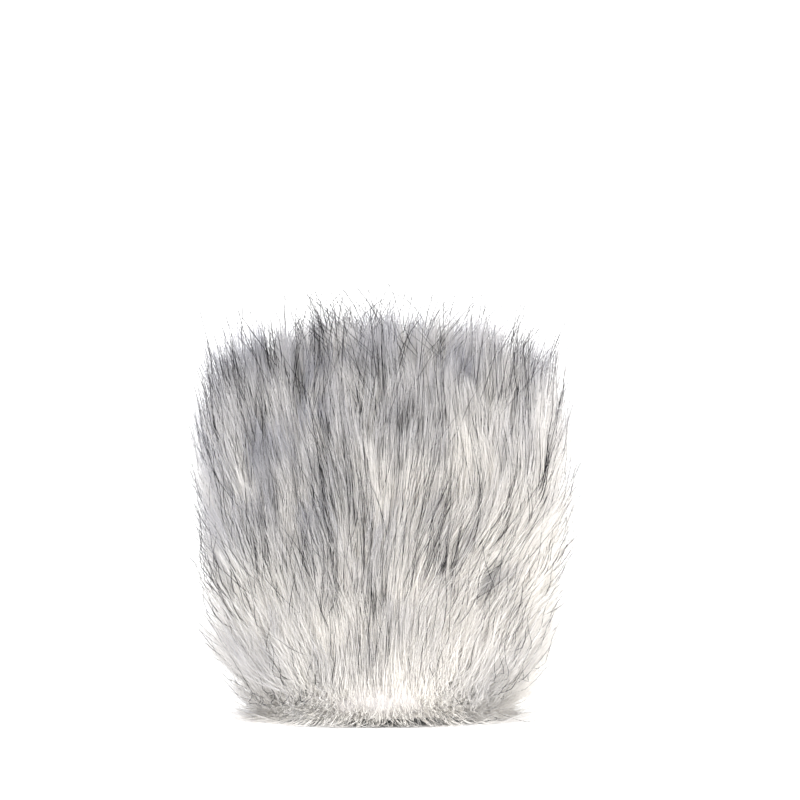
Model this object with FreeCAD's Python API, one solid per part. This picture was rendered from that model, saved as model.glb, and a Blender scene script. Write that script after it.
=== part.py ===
"""Furry windscreen: a faux-fur sock that is pulled over a microphone or a handheld recorder.

Two panels of knitted backing cloth, front and back, are sewn face to face along a U-shaped seam and
turned, so the raw seam allowances lie inside. The mouth at the bottom is a hem tunnel with a ring of
flat elastic in it. The long pile is combed up from the mouth, fans out round it, and stands well past
the closed top.

Frame: millimetres, +Z up, the mouth's axis is Z, the front panel faces -Y, and z = 0 is the plane of
the short hairs round the mouth that the windscreen stands on. The elastic lets the left and right halves of the mouth
move apart along X, so the hem and the pile round it are made as a left and a right half.
"""
import FreeCAD
import Part
import math
import os

# Driving dimensions
WIDTH = 114.0
DEPTH = 62.0
HEIGHT = 120.0
MOUTH_RADIUS = 18.0
PILE_LOFT_SIDE = 18.0
PILE_LOFT_FACE = 12.0
PILE_LOFT_TOP = 24.0
CLOTH = 1.2
MOUTH_GAP = 0.15       # half the slot between the left and right halves of the mouth
CLEARANCE = 0.3        # between cloth and pile, and between pieces that move apart
SPLIT_Z = 24.0         # the pile below this height moves with the halves of the mouth

# Hem tunnel and elastic
HEM_BOTTOM = 4.0
HEM_TOP = 13.0
HEM_CLOTH = 0.8
TUNNEL = 3.0           # radial room for the elastic
HEM_OUTER = MOUTH_RADIUS + TUNNEL + 2 * HEM_CLOTH
HEM_MIDDLE = (HEM_BOTTOM + HEM_TOP) / 2
ELASTIC_THICK = 1.0
ELASTIC_WIDE = 6.0
ELASTIC_OUTER = HEM_OUTER - HEM_CLOTH - 0.4
ELASTIC_LAP_DEG = 34.0
LAP_BARS_DEG = (-10.0, -3.5, 3.5, 10.0)

# Sewing
ALLOWANCE = 6.0        # how far the seam allowances reach inwards from the cloth
ALLOWANCE_CLOTH = 0.9  # thickness of each one, pressed flat
ALLOWANCE_LOW = SPLIT_Z + 4.0
THREAD = 0.4
THREAD_LIFT = 0.02     # keeps thread off the cloth that it lies on
STITCH = 3.4
STITCH_PITCH = 5.0
SEAM_INSET = 2.5       # from the cloth to the lockstitch row
OVERLOCK_WIDE = 2.0
OVERLOCK_OVER = 0.8    # how far the binding thread stands past the raw edge
HEM_STITCHES = 14      # in each half of the hem
HEM_STITCH = 2.6
HEM_STITCH_DROP = 1.6  # below the hem's top edge

# Pile: each pair holds a half width and a half depth
MOUTH_RING = (29.0, 25.5)   # the ring of short hairs at z = 0
CROWN = (24.0, 5.0)
PILE_WAIST = (60.0, 46.0)   # heights where the fur is widest and deepest
PILE_POWERS = ((2.2, 3.2), (2.0, 2.0))
TIP_HOLE = MOUTH_RADIUS + 0.6

# Sewn sock, measured on the outside of the cloth
SOCK_HALF_WIDTH = WIDTH / 2 - PILE_LOFT_SIDE
SOCK_HALF_DEPTH = DEPTH / 2 - PILE_LOFT_FACE
SOCK_TOP = HEIGHT - PILE_LOFT_TOP
SOCK_BOTTOM = HEM_TOP + CLEARANCE
SOCK_MOUTH = HEM_OUTER - HEM_CLOTH
SOCK_CROWN = (22.0, 2.0)
SOCK_WAIST = (58.0, 42.0)
SOCK_POWERS = ((2.0, 2.8), (2.0, 1.7))
THINNEST = 0.6              # a level section of cloth is never shallower than this

SECTIONS = 11               # level sections in each loft
OUTLINE_POINTS = 24         # points round each section
FAR = 200.0


def bulge(t, power):
    """Quarter superellipse: 0 at t = 0 and 1 at t = 1, steep at first and flat at the end."""
    return (1.0 - (1.0 - t) ** power) ** (1.0 / power)


def half_size(z, low, high, ends, middle, waist, powers):
    """A half size at height z: it swells from ends[0] at low to middle at waist, then falls to ends[1]."""
    if z <= waist:
        return ends[0] + (middle - ends[0]) * bulge((z - low) / (waist - low), powers[0])
    return ends[1] + (middle - ends[1]) * bulge((high - z) / (high - waist), powers[1])


def heights(low, high):
    """Section heights that crowd together near both ends, where the outline curves most."""
    steps = [(1.0 - math.cos(math.pi * i / (SECTIONS - 1))) / 2.0 for i in range(SECTIONS)]
    return [low + (high - low) * step for step in steps]


def ellipse_wire(half_x, half_y, z):
    """A level closed curve through points of an ellipse, so that every section matches the next."""
    turns = [2.0 * math.pi * i / OUTLINE_POINTS for i in range(OUTLINE_POINTS)]
    points = [FreeCAD.Vector(half_x * math.cos(a), half_y * math.sin(a), z) for a in turns]
    curve = Part.BSplineCurve()
    curve.interpolate(points, PeriodicFlag=True)
    return Part.Wire(curve.toShape())


def pile_half_width(z):
    return half_size(z, 0.0, HEIGHT, (MOUTH_RING[0], CROWN[0]), WIDTH / 2, PILE_WAIST[0], PILE_POWERS[0])


def pile_half_depth(z):
    return half_size(z, 0.0, HEIGHT, (MOUTH_RING[1], CROWN[1]), DEPTH / 2, PILE_WAIST[1], PILE_POWERS[1])


def sock_half_width(z):
    return half_size(z, SOCK_BOTTOM, SOCK_TOP, (SOCK_MOUTH, SOCK_CROWN[0]), SOCK_HALF_WIDTH,
                     SOCK_WAIST[0], SOCK_POWERS[0])


def sock_half_depth(z):
    return half_size(z, SOCK_BOTTOM, SOCK_TOP, (SOCK_MOUTH, SOCK_CROWN[1]), SOCK_HALF_DEPTH,
                     SOCK_WAIST[1], SOCK_POWERS[1])


def pile_body():
    """The outer shape of the fur, from the ring round the mouth to the hair tips above the crown."""
    loft = Part.makeLoft([ellipse_wire(pile_half_width(z), pile_half_depth(z), z)
                          for z in heights(0.0, HEIGHT)], True)
    return loft.common(slab(z=(0.0, HEIGHT)))


def sock_body(grow, raise_bottom=0.0, depth_grow=None):
    """The sewn sock as a filled solid, grown outwards (or shrunk) evenly by grow."""
    deep = grow if depth_grow is None else depth_grow
    wires = []
    for z in heights(SOCK_BOTTOM, SOCK_TOP):
        share = (z - SOCK_BOTTOM) / (SOCK_TOP - SOCK_BOTTOM)
        half_y = max(sock_half_depth(z) + deep, THINNEST)
        level = z + grow * share + raise_bottom * (1.0 - share)
        wires.append(ellipse_wire(sock_half_width(z) + grow, half_y, level))
    return Part.makeLoft(wires, True)


def slab(x=(-FAR, FAR), y=(-FAR, FAR), z=(-FAR, FAR)):
    """A box given by its ranges, for cutting and splitting."""
    corner = FreeCAD.Vector(x[0], y[0], z[0])
    return Part.makeBox(x[1] - x[0], y[1] - y[0], z[1] - z[0], corner)


def ring(r_in, r_out, low, high):
    """A flat-ended ring round the mouth's axis."""
    base = FreeCAD.Vector(0, 0, low)
    return Part.makeCylinder(r_out, high - low, base).cut(Part.makeCylinder(r_in, high - low, base))


def side(shape, sign):
    """The part of a shape on one side of the mouth's slot: -1 is left, +1 is right."""
    edges = (-FAR, -MOUTH_GAP) if sign < 0 else (MOUTH_GAP, FAR)
    return shape.common(slab(x=edges))


def face_range(sign):
    """The range of y that belongs to the front (-1) or the back (+1) panel."""
    return (-FAR, 0.0) if sign < 0 else (0.0, FAR)


def inner_sock(reach):
    """A filled sock whose edge lies reach inside the cloth, for cutting the seam allowances."""
    return sock_body(-CLOTH - reach, -1.0, depth_grow=0.0)


def backing_panel(sign):
    """One panel of backing cloth with its seam allowance turned in."""
    shell = sock_body(0.0).cut(sock_body(-CLOTH, -1.0))
    fold = (-ALLOWANCE_CLOTH, 0.0) if sign < 0 else (0.0, ALLOWANCE_CLOTH)
    flange = sock_body(-CLOTH / 2).cut(inner_sock(ALLOWANCE)).common(slab(y=fold, z=(ALLOWANCE_LOW, FAR)))
    return shell.common(slab(y=face_range(sign))).fuse(flange).removeSplitter()


def seam_path():
    """Points of the lockstitch row in the plane y = 0: up the left side, over the top, down the right."""
    inset = CLOTH + SEAM_INSET
    low, high = ALLOWANCE_LOW + 2.0, SOCK_TOP - inset
    count = 60
    rise = [low + (high - low) * bulge(i / count, 2.0) for i in range(count + 1)]
    right = [(sock_half_width(z + inset * (z - low) / (high - low)) - inset, z) for z in rise]
    left = [(-x, z) for x, z in right]
    return left + right[::-1]


def spaced(path, pitch):
    """Places (x, z, direction angle) at an even pitch along a path in the plane y = 0."""
    places, carried = [], 0.0
    for (x0, z0), (x1, z1) in zip(path, path[1:]):
        run = math.hypot(x1 - x0, z1 - z0)
        while carried <= run:
            t = carried / run
            places.append((x0 + t * (x1 - x0), z0 + t * (z1 - z0), math.atan2(z1 - z0, x1 - x0)))
            carried += pitch
        carried -= run
    return places


def rod(middle, direction, length):
    """A short straight piece of thread centred on a point."""
    start = middle - direction * (length / 2)
    return Part.makeCylinder(THREAD / 2, length, start, direction)


def seam_lockstitch():
    """The lockstitches that join the panels, seen on both faces of the folded allowances."""
    lift = ALLOWANCE_CLOTH + THREAD / 2 + THREAD_LIFT
    stitches = []
    for x, z, angle in spaced(seam_path(), STITCH_PITCH):
        along = FreeCAD.Vector(math.cos(angle), 0, math.sin(angle))
        for y in (-lift, lift):
            stitches.append(rod(FreeCAD.Vector(x, y, z), along, STITCH))
    return Part.makeCompound(stitches)


def seam_overlock():
    """The overlock thread that binds the raw edges of both allowances, as one bead round them."""
    reach = ALLOWANCE_CLOTH + THREAD
    bead = inner_sock(ALLOWANCE - OVERLOCK_WIDE).cut(inner_sock(ALLOWANCE + OVERLOCK_OVER))
    bead = bead.common(slab(y=(-reach, reach), z=(ALLOWANCE_LOW, FAR)))
    allowances = sock_body(0.0).cut(inner_sock(ALLOWANCE))
    return bead.cut(allowances.common(slab(y=(-ALLOWANCE_CLOTH, ALLOWANCE_CLOTH))))


def hem_tunnel(sign):
    """One half of the hem: cloth folded into a tunnel round the elastic."""
    outside = ring(MOUTH_RADIUS, HEM_OUTER, HEM_BOTTOM, HEM_TOP)
    room = ring(MOUTH_RADIUS + HEM_CLOTH, HEM_OUTER - HEM_CLOTH, HEM_BOTTOM + HEM_CLOTH, HEM_TOP - HEM_CLOTH)
    return side(outside.cut(room), sign)


def hem_stitches(sign):
    """The stitch row that closes one half of the hem, on its outer face."""
    radius = HEM_OUTER + THREAD / 2 + THREAD_LIFT
    turn = math.pi / HEM_STITCHES
    stitches = []
    for i in range(HEM_STITCHES):
        angle = (i + 0.5) * turn - sign * math.pi / 2
        middle = FreeCAD.Vector(radius * math.cos(angle), radius * math.sin(angle), HEM_TOP - HEM_STITCH_DROP)
        stitches.append(rod(middle, FreeCAD.Vector(-math.sin(angle), math.cos(angle), 0), HEM_STITCH))
    return Part.makeCompound(stitches)


def elastic_band():
    """A ring of flat elastic whose ends lap at the back of the mouth."""
    inner = ELASTIC_OUTER - ELASTIC_THICK
    low = HEM_MIDDLE - ELASTIC_WIDE / 2
    up = FreeCAD.Vector(0, 0, 1)
    band = ring(inner, ELASTIC_OUTER, low, low + ELASTIC_WIDE)
    base = FreeCAD.Vector(0, 0, low)
    sector = Part.makeCylinder(inner, ELASTIC_WIDE, base, up, ELASTIC_LAP_DEG)
    sector.rotate(base, up, 90.0 - ELASTIC_LAP_DEG / 2)
    lap = sector.cut(Part.makeCylinder(inner - ELASTIC_THICK, ELASTIC_WIDE, base))
    return band.fuse(lap).removeSplitter()


def elastic_join_stitches():
    """Bars of thread that sew the lapped ends of the elastic together, on the inside of the lap."""
    radius = ELASTIC_OUTER - 2 * ELASTIC_THICK - THREAD / 2 - THREAD_LIFT
    bars = []
    for degrees in LAP_BARS_DEG:
        angle = math.pi / 2 + math.radians(degrees)
        middle = FreeCAD.Vector(radius * math.cos(angle), radius * math.sin(angle), HEM_MIDDLE)
        bars.append(rod(middle, FreeCAD.Vector(0, 0, 1), ELASTIC_WIDE * 0.75))
    return Part.makeCompound(bars)


def upper_pile(sign):
    """The fur of one panel above the mouth, as the space that the hair fills."""
    room = sock_body(CLEARANCE)
    return pile_body().cut(room).common(slab(y=face_range(sign), z=(SPLIT_Z + CLEARANCE, FAR)))


def mouth_pile(sign):
    """The fur round one half of the mouth, which reaches just below the hem."""
    pocket_low = HEM_BOTTOM - CLEARANCE
    pocket = Part.makeCylinder(HEM_OUTER + 2 * THREAD, SOCK_BOTTOM + 1.0 - pocket_low,
                               FreeCAD.Vector(0, 0, pocket_low))
    way_in = Part.makeCylinder(TIP_HOLE, FAR, FreeCAD.Vector(0, 0, -FAR / 2))
    fur = pile_body().common(slab(z=(0.0, SPLIT_Z)))
    return side(fur.cut(pocket).cut(way_in).cut(sock_body(1.5 * CLEARANCE)), sign)


def save(name, shape):
    """Writes one node's STEP file and prints what it holds."""
    solids = shape.Solids
    whole = solids[0] if len(solids) == 1 else Part.makeCompound(solids)
    whole.exportStep(os.path.join("parts", name + ".step"))
    print(f"{name:24s} {len(solids):3d} solids {whole.Volume:9.0f} mm3 valid {whole.isValid()}")


def main():
    os.makedirs("parts", exist_ok=True)
    for name, sign in (("front", -1), ("back", 1)):
        save(name + "_backing", backing_panel(sign))
        save(name + "_pile", upper_pile(sign))
    for name, sign in (("left", -1), ("right", 1)):
        save("mouth_pile_" + name, mouth_pile(sign))
        save("hem_tunnel_" + name, hem_tunnel(sign))
        save("hem_stitches_" + name, hem_stitches(sign))
    save("elastic_band", elastic_band())
    save("elastic_join_stitches", elastic_join_stitches())
    save("seam_lockstitch", seam_lockstitch())
    save("seam_overlock", seam_overlock())


main()
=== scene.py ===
"""Furry windscreen: the looks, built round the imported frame.

The long pile is real geometry: every fibre is a thin closed prism that is rooted on the sewn sock,
leaves the cloth at a steep angle and is combed up from the mouth to well past the closed top. Fibres
gather into small tufts and the tufts into locks. Lengths in this file are millimetres until a mesh
is written, which is in metres.
"""
from __future__ import annotations

import logging
import math
from dataclasses import dataclass
from enum import Enum

import bpy
import numpy as np
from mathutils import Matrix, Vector


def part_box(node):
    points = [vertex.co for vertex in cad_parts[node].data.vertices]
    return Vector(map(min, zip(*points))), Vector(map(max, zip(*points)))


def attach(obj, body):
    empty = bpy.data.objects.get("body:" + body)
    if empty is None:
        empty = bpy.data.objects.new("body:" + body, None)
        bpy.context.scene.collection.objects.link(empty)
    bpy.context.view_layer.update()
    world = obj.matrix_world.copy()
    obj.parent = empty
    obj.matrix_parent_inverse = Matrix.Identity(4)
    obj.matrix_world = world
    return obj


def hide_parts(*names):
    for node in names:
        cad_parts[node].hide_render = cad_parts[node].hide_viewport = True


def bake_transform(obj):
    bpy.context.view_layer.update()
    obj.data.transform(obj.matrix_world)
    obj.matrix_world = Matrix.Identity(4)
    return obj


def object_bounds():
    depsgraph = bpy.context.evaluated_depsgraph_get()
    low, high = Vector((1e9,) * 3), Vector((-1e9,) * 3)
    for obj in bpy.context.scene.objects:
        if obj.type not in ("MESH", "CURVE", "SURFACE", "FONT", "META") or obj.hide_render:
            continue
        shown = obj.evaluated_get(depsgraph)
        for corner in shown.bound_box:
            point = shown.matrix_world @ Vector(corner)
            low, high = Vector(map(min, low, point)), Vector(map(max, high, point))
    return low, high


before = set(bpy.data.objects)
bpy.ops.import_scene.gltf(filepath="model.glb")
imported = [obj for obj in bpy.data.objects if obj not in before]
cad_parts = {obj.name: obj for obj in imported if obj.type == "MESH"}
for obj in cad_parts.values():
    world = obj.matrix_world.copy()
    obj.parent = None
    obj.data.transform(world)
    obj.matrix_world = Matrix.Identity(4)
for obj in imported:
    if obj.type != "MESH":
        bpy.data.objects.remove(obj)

LOG = logging.getLogger("windscreen")
MM = 0.001
SEED = 20
# the export bakes colours on a map of this name as it is
FIBRE_UV = "OFBake"  # the fibres' own map, which the fibre materials read
WEAVE_UV = "weave"  # a cloth's own map: its flat place, in metres
FLOOR_GAP_MM = 0.3  # fibres that hang over the hem end this far above the floor
FUR_TOP_MM = 129.0  # the longest tips stay below this height
UNDERCOAT_MM = 4.0
UNDERCOAT_HANGS_MM = 2.8
CAD_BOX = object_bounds()

Array = np.ndarray


# ---------------------------------------------------------------- names


class Half(Enum):
    """The left or right half of the mouth, which the elastic lets move apart."""

    LEFT = -1
    RIGHT = 1

    @property
    def body(self) -> str:
        """The name of the body that this half of the mouth belongs to."""
        return f"mouth_{self.name.lower()}"


class Panel(Enum):
    """The front or the back panel of the sock."""

    FRONT = -1
    BACK = 1


class Band(Enum):
    """A band of cloth or pile, with the line along which it passes from the sock to the mouth.

    A line has x and z of its start, where the band is still the sock's, and of its end, where it is
    the mouth's, in millimetres. On the left x is negative. A band with no line stays with the sock.
    """

    HEM = ((0.0, 13.0), (22.6, 13.0))
    CLOTH = ((0.0, 13.0), (2.2, 6.4))
    FRINGE = ((0.0, 8.0), (16.4, -0.2))
    FLANK = ((0.0, 50.0), (0.0, 4.0))
    WAIST = ((15.0, 24.0), (33.0, -4.8))
    CROWN = ()


# ---------------------------------------------------------------- small tools


def linear(code: str) -> tuple[float, float, float, float]:
    """Turns an sRGB hex colour into the linear colour that a shader takes.

    Args:
        code: The colour as six hex digits after a hash sign.

    Returns:
        Linear red, green, blue and an alpha of 1.
    """
    parts = [int(code[i : i + 2], 16) / 255 for i in (1, 3, 5)]
    red, green, blue = [c / 12.92 if c <= 0.04045 else ((c + 0.055) / 1.055) ** 2.4 for c in parts]
    return red, green, blue, 1.0


def add_node(
    tree: bpy.types.NodeTree, kind: str, values: dict | None = None, links: dict | None = None, **settings
) -> bpy.types.Node:
    """Adds a shader node with its settings, socket values and links.

    Args:
        tree: The node tree that gets the node.
        kind: The node's type without its ShaderNode prefix.
        values: Input socket names or numbers with the values that they take.
        links: Input socket names or numbers with the output sockets that feed them.
        **settings: Properties of the node itself.

    Returns:
        The new node.
    """
    node = tree.nodes.new("ShaderNode" + kind)
    for name, value in settings.items():
        setattr(node, name, value)
    for key, value in (values or {}).items():
        node.inputs[key].default_value = value
    for key, source in (links or {}).items():
        tree.links.new(source, node.inputs[key])
    return node


def set_ramp(node: bpy.types.Node, stops: dict[float, str]) -> None:
    """Gives a colour ramp its stops.

    Args:
        node: A ColorRamp node.
        stops: Positions from 0 to 1 with hex colours.
    """
    ramp = node.color_ramp
    while len(ramp.elements) > 1:
        ramp.elements.remove(ramp.elements[-1])
    for i, (position, code) in enumerate(stops.items()):
        element = ramp.elements[0] if i == 0 else ramp.elements.new(position)
        element.position = position
        element.color = linear(code)


def new_material(name: str) -> tuple[bpy.types.Material, bpy.types.NodeTree, bpy.types.Node]:
    """Makes an empty node material with a Principled shader.

    Args:
        name: The material's name.

    Returns:
        The material, its node tree and the shader node.
    """
    material = bpy.data.materials.new(name)
    material.use_nodes = True
    tree = material.node_tree
    tree.nodes.clear()
    shader = add_node(tree, "BsdfPrincipled")
    add_node(tree, "OutputMaterial", links={"Surface": shader.outputs["BSDF"]})
    return material, tree, shader


def wave_scale(pitch: float) -> float:
    """The scale at which a Wave Texture's bands repeat at a pitch in millimetres: pi over ten pitches."""
    return math.pi / (10 * pitch * MM)


def bulge(share: Array, power: float) -> Array:
    """A quarter superellipse: 0 at share 0 and 1 at share 1, steep at first and flat at the end."""
    return (1.0 - (1.0 - np.clip(share, 0.0, 1.0)) ** power) ** (1.0 / power)


def smooth(share: Array) -> Array:
    """The smoothstep curve, 3 s squared minus 2 s cubed, with s held between 0 and 1."""
    held = np.clip(share, 0.0, 1.0)
    return held * held * (3.0 - 2.0 * held)


def unit(vectors: Array) -> Array:
    """Scales vectors on the last axis to length 1."""
    return vectors / np.maximum(np.linalg.norm(vectors, axis=-1, keepdims=True), 1e-9)


def ripple(points: Array, pitch: float, seed: int) -> Array:
    """A smooth random value, about -1 to 1, that varies over space.

    It is the mean of six sine waves, each with its own random direction, phase and wavelength near
    the pitch.

    Args:
        points: Places in millimetres, with x, y, z on the last axis.
        pitch: The typical wavelength in millimetres.
        seed: Picks the waves.

    Returns:
        One value for each place.
    """
    rng = np.random.default_rng(seed)
    waves = unit(rng.normal(size=(6, 3))) * (2 * math.pi / pitch) * rng.uniform(0.6, 1.5, (6, 1))
    phases = rng.uniform(0, 2 * math.pi, 6)
    return np.sin(points @ waves.T + phases).mean(axis=-1) * 1.9


def grid_faces(rows: int, columns: int, wrap: bool = False) -> Array:
    """Quads that join a grid of points, numbered row by row.

    Args:
        rows: Points along the first parameter.
        columns: Points along the second parameter.
        wrap: Whether the last column joins the first.

    Returns:
        One row of four point numbers for each quad.
    """
    across = np.arange(columns if wrap else columns - 1)
    corner = np.arange(rows - 1)[:, None] * columns + across
    beside = np.arange(rows - 1)[:, None] * columns + (across + 1) % columns
    return np.stack([corner, beside, beside + columns, corner + columns], axis=-1).reshape(-1, 4)


def new_piece(
    name: str, points: Array, faces: list, material: bpy.types.Material, weave: Array | None = None
) -> bpy.types.Object:
    """Makes a smooth-shaded piece at the origin from points and faces.

    Args:
        name: The piece's name.
        points: Its points in millimetres.
        faces: Lists of point numbers.
        material: Its material.
        weave: For cloth, each point's place on the flat cloth, in millimetres.

    Returns:
        The new object, linked into the scene.
    """
    mesh = bpy.data.meshes.new(name)
    mesh.from_pydata((points.reshape(-1, 3) * MM).tolist(), [], faces)
    mesh.materials.append(material)
    mesh.shade_smooth()
    mesh.update()
    if weave is not None:
        corner = np.empty(len(mesh.loops), np.int32)
        mesh.loops.foreach_get("vertex_index", corner)
        layer = mesh.uv_layers.new(name=WEAVE_UV)
        layer.data.foreach_set("uv", (weave.reshape(-1, 2)[corner] * MM).astype(np.float32).reshape(-1))
    piece = bpy.data.objects.new(name, mesh)
    bpy.context.scene.collection.objects.link(piece)
    return piece


# ---------------------------------------------------------------- the sewn form


@dataclass(frozen=True)
class Profile:
    """A half size over height: it swells from one end to a middle and falls to the other end."""

    low: float
    high: float
    ends: tuple[float, float]
    middle: float
    waist: float
    powers: tuple[float, float]

    def at(self, z: Array) -> Array:
        """Gives the half size at each height z.

        Args:
            z: Heights in millimetres.

        Returns:
            Half sizes in millimetres. Below the waist: the first end plus the bulge of the rise.
            Above it: the second end plus the bulge of the fall.
        """
        rise = bulge((z - self.low) / (self.waist - self.low), self.powers[0])
        fall = bulge((self.high - z) / (self.high - self.waist), self.powers[1])
        below = self.ends[0] + (self.middle - self.ends[0]) * rise
        above = self.ends[1] + (self.middle - self.ends[1]) * fall
        return np.where(z <= self.waist, below, above)


@dataclass(frozen=True)
class SockForm:
    """The outer face of the cloth, as a surface of two parameters.

    Attributes:
        width: Half width over height above the hem.
        depth: Half depth over height above the hem.
        hem_low: Height of the hem's lower edge.
        hem_radius: Outer radius of the hem.
        cap_lift: How far the closed seam stands above the last open section.
    """

    width: Profile
    depth: Profile
    hem_low: float
    hem_radius: float
    cap_lift: float = 1.4
    HEM: float = -0.12
    CAP: float = 1.05

    def point(self, t: Array, a: Array) -> Array:
        """Places points on the surface.

        Each level section is an ellipse whose half sizes come from the profiles. From t = 0 to 1 the
        height runs from the hem to the crown as half a cosine wave, so that sections crowd at both
        ends. Below 0 it runs down the hem's cylinder, and above 1 the section closes to a line.

        Args:
            t: Along the surface, from HEM at the hem's lower edge to CAP at the closed seam.
            a: Angle round the mouth's axis from +X, in radians.

        Returns:
            Points in millimetres, with x, y, z on the last axis.
        """
        low, top = self.width.low, self.width.high
        climb = np.clip(t, 0.0, 1.0)
        z = low + (top - low) * (1.0 - np.cos(math.pi * climb)) / 2.0
        close = np.clip((t - 1.0) / (self.CAP - 1.0), 0.0, 1.0) * math.pi / 2.0
        z = z + self.cap_lift * np.sin(close) + np.clip(t / self.HEM, 0.0, 1.0) * (self.hem_low - low)
        wide = self.width.at(z) - 1.5 * (1.0 - np.cos(close))
        deep = self.depth.at(z) * np.cos(close)
        blend = smooth(np.clip(1.0 + t * 12.0, 0.0, 1.0))
        wide = self.hem_radius + (wide - self.hem_radius) * blend
        deep = self.hem_radius + (deep - self.hem_radius) * blend
        return np.stack([wide * np.cos(a), deep * np.sin(a), z + 0.0 * a], axis=-1)

    def frame_at(self, t: Array, a: Array) -> tuple[Array, Array]:
        """Works out the outward normal and the upward tangent by small differences.

        Args:
            t: Along the surface.
            a: Angle round the axis.

        Returns:
            Unit normals and unit tangents that point up the cloth.
        """
        step = 1e-4
        inside = np.minimum(t, self.CAP - 2 * step)
        up = self.point(inside + step, a) - self.point(inside - step, a)
        round_ = self.point(inside, a + step) - self.point(inside, a - step)
        return unit(np.cross(round_, up)), unit(up)


@dataclass(frozen=True)
class PileForm:
    """The outer shape that the brushed pile fills.

    Attributes:
        width: Half width over height.
        depth: Half depth over height.
        level: Height above which the tips aren't drawn in any more.
    """

    width: Profile
    depth: Profile
    level: float = 98.0

    def hold(self, points: Array, limit: Array) -> Array:
        """Draws fibres in so that their ends stay within a share of the form.

        A point's share is its distance from the axis over the form's there. Each fibre's greatest
        need to be drawn in is found, and the fibre is drawn towards the height line through its
        root by that much, more and more towards the tip, so that it keeps its smooth curve.

        Args:
            points: Fibre points, of shape (fibres, rings, 3).
            limit: The share that each fibre may reach.

        Returns:
            The points, drawn in level.
        """
        z = points[..., 2]
        wide = self.width.at(np.minimum(z, self.level))
        deep = self.depth.at(np.minimum(z, self.level + 8.0))
        share = np.hypot(points[..., 0] / wide, points[..., 1] / deep)
        root = share[:, :1]
        over = np.maximum(share - limit[:, None], 0.0) / np.maximum(share - root, 0.05)
        need = np.clip(over.max(axis=1), 0.0, 1.0)
        along = smooth(np.linspace(0, 1, points.shape[1]) * 1.3)
        keep = 1.0 - need[:, None] * along
        held = points.copy()
        held[..., :2] = points[:, :1, :2] + (points[..., :2] - points[:, :1, :2]) * keep[..., None]
        return held


def measured_forms() -> tuple[SockForm, PileForm]:
    """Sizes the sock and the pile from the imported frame.

    Returns:
        The cloth's form and the pile's form, in millimetres.
    """
    cloth_low, cloth_high = [np.array(corner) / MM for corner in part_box("front_backing")]
    hem_low, hem_high = [np.array(corner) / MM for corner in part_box("hem_tunnel_left")]
    pile_low, pile_high = [np.array(corner) / MM for corner in CAD_BOX]
    hem_radius = -hem_low[0]
    low, top = hem_high[2] + 0.3, cloth_high[2]
    ends = hem_radius - 0.8
    sock = SockForm(
        width=Profile(low, top, (ends, 22.0), cloth_high[0], 58.0, (2.0, 2.8)),
        depth=Profile(low, top, (ends, 2.0), -cloth_low[1], 42.0, (2.0, 1.7)),
        hem_low=hem_low[2],
        hem_radius=hem_radius,
    )
    pile = PileForm(
        width=Profile(0.0, pile_high[2], (42.0, 24.0), pile_high[0] - 1.0, 54.0, (2.0, 2.8)),
        depth=Profile(0.0, pile_high[2], (27.0, 5.0), pile_high[1], 46.0, (2.0, 2.0)),
    )
    return sock, pile


# ---------------------------------------------------------------- finishes


@dataclass(frozen=True)
class PileFinish:
    """Modacrylic pile, drawn as fine fibres and brushed.

    The eye gets soft streaks: cream where the fibre leaves the cloth, cooler and greyer towards the
    tip, with a weak sheen because the fibre's skin is smooth. The piece's own map gives the tone
    across, which also carries the painted shade and light of Pile.tone, and the place along the
    fibre upwards.
    """

    name: str
    root_tones: tuple[str, str]
    tip_tones: tuple[str, str]
    change: tuple[float, float]
    roughness: float = 0.5
    specular: float = 0.3

    def make(self) -> bpy.types.Material:
        """Builds the material.

        Returns:
            The material.
        """
        material, tree, shader = new_material(self.name)
        uv = add_node(tree, "UVMap", uv_map=FIBRE_UV)
        place = add_node(tree, "SeparateXYZ", links={0: uv.outputs["UV"]})
        ramps = []
        for tones in (self.root_tones, self.tip_tones):
            ramp = add_node(tree, "ValToRGB", links={"Fac": place.outputs["X"]})
            set_ramp(ramp, {0.0: tones[0], 1.0: tones[1]})
            ramps.append(ramp.outputs["Color"])
        along = add_node(
            tree,
            "MapRange",
            {"From Min": self.change[0], "From Max": self.change[1]},
            {"Value": place.outputs["Y"]},
            interpolation_type="SMOOTHSTEP",
        )
        mixed = add_node(tree, "Mix", data_type="RGBA")
        tree.links.new(along.outputs["Result"], mixed.inputs[0])
        tree.links.new(ramps[0], mixed.inputs[6])
        tree.links.new(ramps[1], mixed.inputs[7])
        tree.links.new(mixed.outputs[2], shader.inputs["Base Color"])
        shader.inputs["Roughness"].default_value = self.roughness
        shader.inputs["Specular IOR Level"].default_value = self.specular
        return material


@dataclass(frozen=True)
class UndercoatFinish:
    """Short dense undercoat of shrunken fibre, matt and slightly felted.

    The eye only gets it between the locks, as pale grey with fine upright streaks. Its grey, darker
    than the cream roots of the top coat, is painted shade between the locks.
    """

    streak_mm: float = 0.5
    length_mm: float = 9.0
    # painted shade: greys darker than the top coat's cream roots stand for the shade between the locks
    tones: tuple[str, str] = ("#A9A5A5", "#D8D3CF")

    def make(self) -> bpy.types.Material:
        """Builds the material.

        Returns:
            The material.
        """
        material, tree, shader = new_material("felted undercoat")
        coords = add_node(tree, "TexCoord")
        scale = (1 / (self.streak_mm * MM), 1 / (self.streak_mm * MM), 1 / (self.length_mm * MM))
        stretched = add_node(tree, "Mapping", {"Scale": scale}, {"Vector": coords.outputs["Object"]})
        streaks = add_node(
            tree, "TexNoise", {"Scale": 1.0, "Detail": 3.0}, {"Vector": stretched.outputs[0]}
        )
        ramp = add_node(tree, "ValToRGB", links={"Fac": streaks.outputs[0]})
        set_ramp(ramp, {0.3: self.tones[0], 0.7: self.tones[1]})
        tree.links.new(ramp.outputs["Color"], shader.inputs["Base Color"])
        shader.inputs["Roughness"].default_value = 0.9
        shader.inputs["Specular IOR Level"].default_value = 0.1
        return material


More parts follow.
